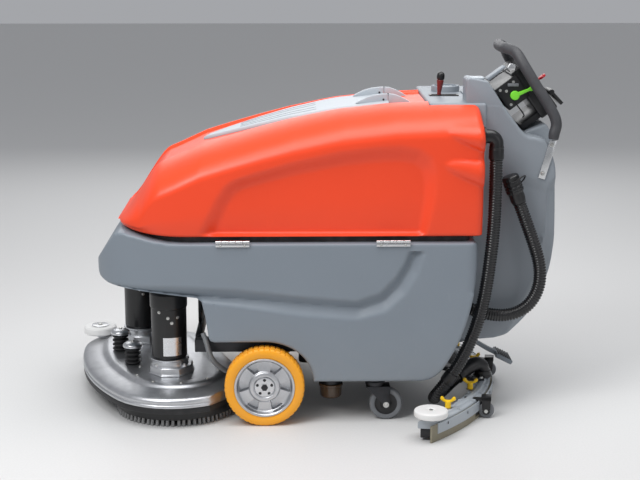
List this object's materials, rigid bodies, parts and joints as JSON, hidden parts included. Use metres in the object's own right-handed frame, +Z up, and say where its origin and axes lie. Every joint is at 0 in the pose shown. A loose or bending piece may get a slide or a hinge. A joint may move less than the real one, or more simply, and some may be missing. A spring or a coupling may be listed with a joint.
{
  "type": "walk-behind floor scrubber-dryer",
  "caption": "Walk-behind scrubber-dryer: staggered disc brushes, drive wheels, tilting recovery tank over a solution tank, swinging squeegee, column with handle loop.",
  "frame": {"origin": "on the floor under the middle of the overall box", "axes": "+Z up, +X from the brushes towards the operator's handle, +Y towards the machine's right side"},
  "size_m": [1.5493, 0.9414, 1.1249],
  "materials": {
    "red_plastic": "rotomoulded, satin orange-red",
    "grey_plastic": "rotomoulded, satin mid grey",
    "light_grey_plastic": "moulded, satin light grey",
    "black_plastic": "moulded, satin black",
    "black_rubber": "matt black",
    "dark_steel": "black powder coat",
    "cast_aluminium": "cast, lightly machined",
    "steel": "brushed stainless",
    "orange_tyre": "orange-yellow polyurethane tread",
    "grey_tyre": "grey non-marking tread",
    "white_plastic": "white nylon",
    "yellow_plastic": "yellow moulded",
    "tan_rubber": "tan gum rubber",
    "bristle": "tufted nylon",
    "brown_clear": "smoky brown moulded bowl",
    "green_plastic": "green moulded",
    "red_key": "red moulded",
    "grip": "textured dark grip",
    "battery": "black battery case"
  },
  "bodies": {
    "chassis": {"solution_tank": "grey_plastic", "control_column": "grey_plastic", "chassis_frame": "dark_steel", "transaxle": "dark_steel", "battery_front": "battery", "battery_rear": "battery", "vacuum_motor": "dark_steel", "filter_bowl": "brown_clear", "handle_loop": "grip", "handle_bracket_left": "steel", "handle_bracket_right": "steel", "console_housing": "black_plastic", "suction_elbow": "black_plastic", "suction_hose": "black_rubber", "drain_hose": "black_rubber", "drain_cap": "black_plastic", "tank_hinge_front": "steel", "tank_hinge_rear": "steel"},
    "recovery_tank": {"recovery_tank": "red_plastic"},
    "recovery_lid": {"recovery_lid": "light_grey_plastic"},
    "filler_cap": {"filler_cap": "light_grey_plastic"},
    "brush_deck": {"deck_cover": "cast_aluminium", "brush_motor_left": "black_plastic", "brush_motor_right": "black_plastic", "brush_gearbox_left": "cast_aluminium", "brush_gearbox_right": "cast_aluminium", "deck_mount_left": "black_rubber", "deck_mount_right": "black_rubber"},
    "bumper_roller": {"bumper_roller": "white_plastic"},
    "foot_pedal": {"foot_pedal": "grey_plastic"},
    "squeegee_swing": {"squeegee_pivot": "dark_steel"},
    "squeegee_lift": {"squeegee_arm": "dark_steel", "squeegee_body": "cast_aluminium", "front_blade": "black_rubber", "rear_blade": "tan_rubber", "suction_collar": "black_plastic"},
    "lift_lever": {"lift_lever": "black_plastic"},
    "valve_lever": {"valve_lever": "green_plastic"},
    "key": {"key": "red_key"},
    "speed_paddle": {"speed_paddle": "black_plastic"},
    "drive_wheel_left": {"drive_tyre_left": "orange_tyre", "drive_rim_left": "cast_aluminium"},
    "caster_left": {"caster_fork_left": "dark_steel"},
    "caster_wheel_left": {"caster_wheel_left": "grey_tyre"},
    "drive_wheel_right": {"drive_tyre_right": "orange_tyre", "drive_rim_right": "cast_aluminium"},
    "caster_right": {"caster_fork_right": "dark_steel"},
    "caster_wheel_right": {"caster_wheel_right": "grey_tyre"},
    "brush_left": {"brush_block_left": "black_plastic", "brush_bristles_left": "bristle"},
    "brush_right": {"brush_block_right": "black_plastic", "brush_bristles_right": "bristle"},
    "end_roller_left": {"end_roller_left": "white_plastic"},
    "support_wheel_left": {"support_wheel_left": "grey_tyre"},
    "end_roller_right": {"end_roller_right": "white_plastic"},
    "support_wheel_right": {"support_wheel_right": "grey_tyre"},
    "wing_knob_left_outer": {"wing_knob_left_outer": "yellow_plastic"},
    "wing_knob_left_inner": {"wing_knob_left_inner": "yellow_plastic"},
    "wing_knob_right_inner": {"wing_knob_right_inner": "yellow_plastic"},
    "wing_knob_right_outer": {"wing_knob_right_outer": "yellow_plastic"}
  },
  "joints": [
    {"name": "recovery_tank_tilt", "type": "hinge", "parent": "chassis", "child": "recovery_tank", "pos_m": [-0.0146, -0.2777, 0.563], "axis": [1, 0, 0], "range_deg": [0, 75]},
    {"name": "recovery_lid_hinge", "type": "hinge", "parent": "recovery_tank", "child": "recovery_lid", "pos_m": [0.2347, 0.0673, 0.973], "axis": [0, 1, 0], "range_deg": [0, 100]},
    {"name": "filler_cap_turn", "type": "hinge", "parent": "chassis", "child": "filler_cap", "pos_m": [0.4349, 0.1973, 0.94], "axis": [0, 0, 1], "continuous": true},
    {"name": "drive_wheel_left_spin", "type": "hinge", "parent": "chassis", "child": "drive_wheel_left", "pos_m": [-0.1446, -0.2737, 0.12], "axis": [0, 1, 0], "continuous": true},
    {"name": "caster_left_swivel", "type": "hinge", "parent": "chassis", "child": "caster_left", "pos_m": [0.1904, -0.2327, 0.12], "axis": [0, 0, 1], "continuous": true},
    {"name": "caster_wheel_left_spin", "type": "hinge", "parent": "caster_left", "child": "caster_wheel_left", "pos_m": [0.2234, -0.2327, 0.05], "axis": [0, 1, 0], "continuous": true},
    {"name": "drive_wheel_right_spin", "type": "hinge", "parent": "chassis", "child": "drive_wheel_right", "pos_m": [-0.1446, 0.4083, 0.12], "axis": [0, 1, 0], "continuous": true},
    {"name": "caster_right_swivel", "type": "hinge", "parent": "chassis", "child": "caster_right", "pos_m": [0.1904, 0.3673, 0.12], "axis": [0, 0, 1], "continuous": true},
    {"name": "caster_wheel_right_spin", "type": "hinge", "parent": "caster_right", "child": "caster_wheel_right", "pos_m": [0.2234, 0.3673, 0.05], "axis": [0, 1, 0], "continuous": true},
    {"name": "deck_lift", "type": "slide", "parent": "chassis", "child": "brush_deck", "axis": [0, 0, 1], "range_m": [0, 0.03]},
    {"name": "bumper_roller_spin", "type": "hinge", "parent": "brush_deck", "child": "bumper_roller", "pos_m": [-0.7196, 0.3473, 0.124], "axis": [0, 0, 1], "continuous": true},
    {"name": "brush_left_spin", "type": "hinge", "parent": "brush_deck", "child": "brush_left", "pos_m": [-0.4206, -0.1127, 0.06], "axis": [0, 0, 1], "continuous": true},
    {"name": "brush_right_spin", "type": "hinge", "parent": "brush_deck", "child": "brush_right", "pos_m": [-0.5446, 0.2473, 0.06], "axis": [0, 0, 1], "continuous": true},
    {"name": "foot_pedal_press", "type": "hinge", "parent": "chassis", "child": "foot_pedal", "pos_m": [0.4854, 0.0673, 0.17], "axis": [0, 1, 0], "range_deg": [0, 8.1]},
    {"name": "squeegee_swing", "type": "hinge", "parent": "chassis", "child": "squeegee_swing", "pos_m": [-0.0146, 0.0673, 0.112], "axis": [0, 0, 1], "range_deg": [-3, 21], "deforming": ["suction_hose"]},
    {"name": "squeegee_lift", "type": "hinge", "parent": "squeegee_swing", "child": "squeegee_lift", "pos_m": [0.02985, 0.06026, 0.108], "axis": [-0.1564, -0.9877, 0], "range_deg": [0, 3.5], "deforming": ["suction_hose"]},
    {"name": "end_roller_left_spin", "type": "hinge", "parent": "squeegee_lift", "child": "end_roller_left", "pos_m": [0.34373, -0.42076, 0.081], "axis": [0, 0, 1], "continuous": true},
    {"name": "support_wheel_left_spin", "type": "hinge", "parent": "squeegee_lift", "child": "support_wheel_left", "pos_m": [0.53232, -0.23194, 0.024], "axis": [0.1564, 0.9877, 0], "continuous": true},
    {"name": "end_roller_right_spin", "type": "hinge", "parent": "squeegee_lift", "child": "end_roller_right", "pos_m": [0.47701, 0.42075, 0.081], "axis": [0, 0, 1], "continuous": true},
    {"name": "support_wheel_right_spin", "type": "hinge", "parent": "squeegee_lift", "child": "support_wheel_right", "pos_m": [0.59802, 0.18289, 0.024], "axis": [0.1564, 0.9877, 0], "continuous": true},
    {"name": "wing_knob_left_outer_turn", "type": "hinge", "parent": "squeegee_lift", "child": "wing_knob_left_outer", "pos_m": [0.40293, -0.33294, 0.08], "axis": [0, 0, 1], "continuous": true},
    {"name": "wing_knob_left_inner_turn", "type": "hinge", "parent": "squeegee_lift", "child": "wing_knob_left_inner", "pos_m": [0.49191, -0.15467, 0.08], "axis": [0, 0, 1], "continuous": true},
    {"name": "wing_knob_right_inner_turn", "type": "hinge", "parent": "squeegee_lift", "child": "wing_knob_right_inner", "pos_m": [0.53571, 0.12188, 0.08], "axis": [0, 0, 1], "continuous": true},
    {"name": "wing_knob_right_outer_turn", "type": "hinge", "parent": "squeegee_lift", "child": "wing_knob_right_outer", "pos_m": [0.50618, 0.31893, 0.08], "axis": [0, 0, 1], "continuous": true},
    {"name": "lift_lever_tip", "type": "hinge", "parent": "chassis", "child": "lift_lever", "pos_m": [0.3964, 0.0673, 0.9], "axis": [0, 1, 0], "range_deg": [0, 25]},
    {"name": "valve_lever_turn", "type": "hinge", "parent": "chassis", "child": "valve_lever", "pos_m": [0.61668, -0.073, 0.97094], "axis": [0, 1, 0], "range_deg": [0, 60]},
    {"name": "key_turn", "type": "hinge", "parent": "chassis", "child": "key", "pos_m": [0.69875, 0.0173, 1.0068], "axis": [0.8039, 0, 0.5948], "range_deg": [0, 90]},
    {"name": "speed_paddle_press", "type": "hinge", "parent": "chassis", "child": "speed_paddle", "pos_m": [0.73612, 0.0073, 0.97597], "axis": [0, 1, 0], "range_deg": [0, 8], "stiffness_Nm_per_rad": 0.6}
  ],
  "couplings": [
    {"joint": "foot_pedal_press", "follows": "deck_lift", "rad_per_m": 4.65},
    {"joint": "lift_lever_tip", "follows": "squeegee_lift", "ratio": 7}
  ]
}
